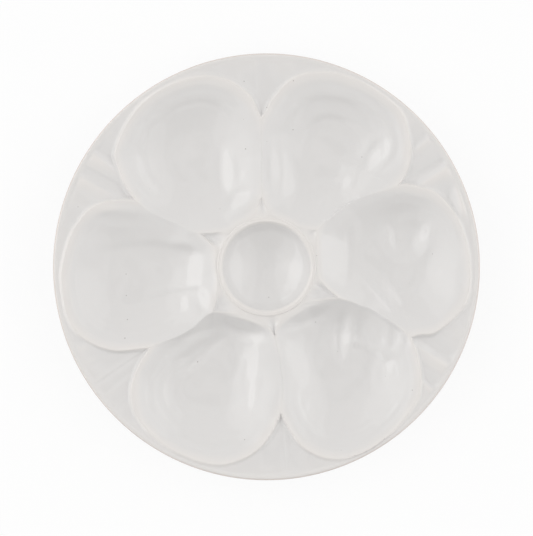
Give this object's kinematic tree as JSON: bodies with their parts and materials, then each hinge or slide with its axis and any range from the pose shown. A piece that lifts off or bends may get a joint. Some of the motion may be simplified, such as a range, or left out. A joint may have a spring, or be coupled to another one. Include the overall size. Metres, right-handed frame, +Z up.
{
  "type": "oyster plate",
  "caption": "Round white glazed porcelain oyster plate with shell-shaped wells around a central sauce cup, a fluted rim and a bare foot ring.",
  "frame": {"origin": "on the table, under the middle of the plate", "axes": "+Z up through the sauce cup; +X towards the well at the right of the picture, +Y towards the gap between the two upper wells"},
  "size_m": [0.25, 0.25, 0.0225],
  "materials": {
    "porcelain": "dense white fired porcelain, pressed in a mould",
    "clear_glaze": "clear glossy glaze over warm white porcelain, with a few pinholes",
    "bare_biscuit": "unglazed, ground foot ring, matt and slightly darker"
  },
  "bodies": {
    "root": {"porcelain_body": "porcelain", "glaze_coat": "clear_glaze", "foot_ring": "bare_biscuit"}
  },
  "joints": []
}
